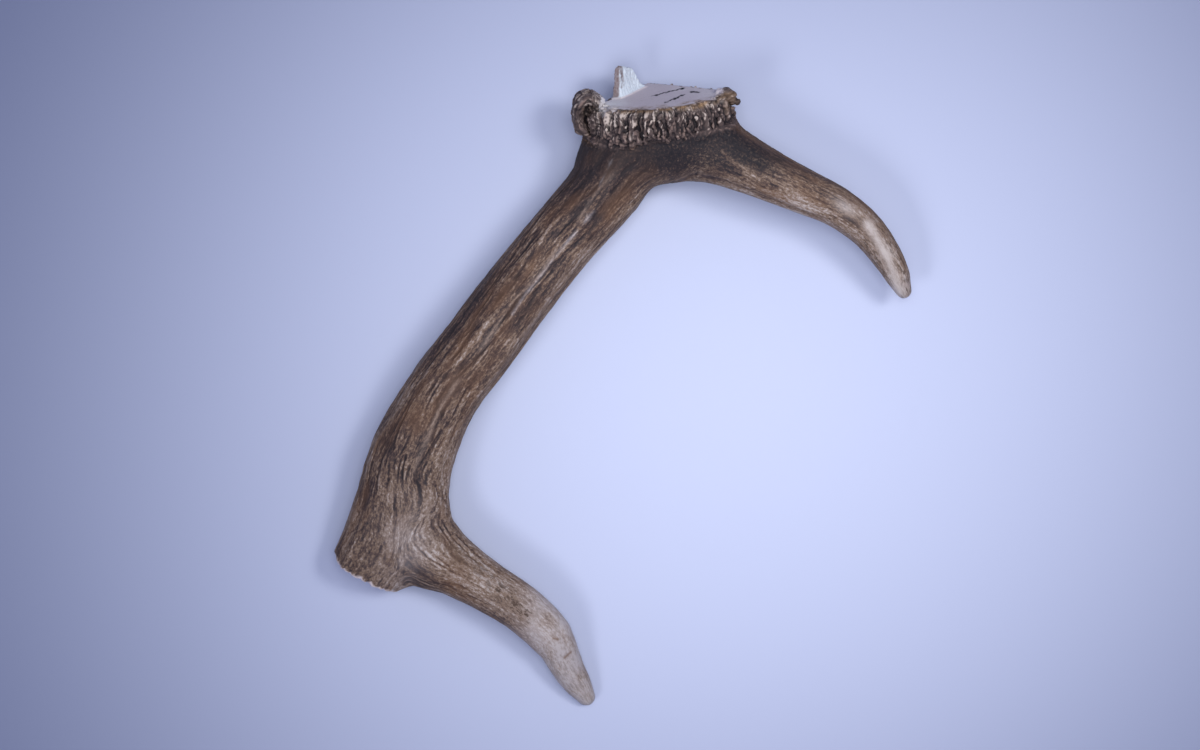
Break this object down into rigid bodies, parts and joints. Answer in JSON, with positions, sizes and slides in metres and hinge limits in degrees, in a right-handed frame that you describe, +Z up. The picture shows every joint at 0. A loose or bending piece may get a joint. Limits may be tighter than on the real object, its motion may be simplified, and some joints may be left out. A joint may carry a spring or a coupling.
{
  "type": "deer antler",
  "caption": "Weathered deer antler with its knobbly burr, sawn base and splinter, ridged brown beam, brow tine and second tine, sawn off past the upper fork",
  "frame": {"origin": "on the surface it lies on, under the middle of its bounding box", "axes": "+Z up from the surface it lies on; +Y from the sawn end of the beam towards the burr; +X the side that both tines point to"},
  "size_m": [0.256, 0.2828, 0.0543],
  "materials": {
    "beam_bone": "matt, grooved lengthwise, dark brown with pale tan ridges",
    "brow_bone": "matt to satin, brown going to ivory at the tip",
    "tine_bone": "satin, tan mottle going to grey ivory at the tip"
  },
  "bodies": {
    "root": {"beam": "beam_bone", "brow_tine": "brow_bone", "second_tine": "tine_bone"}
  },
  "joints": []
}
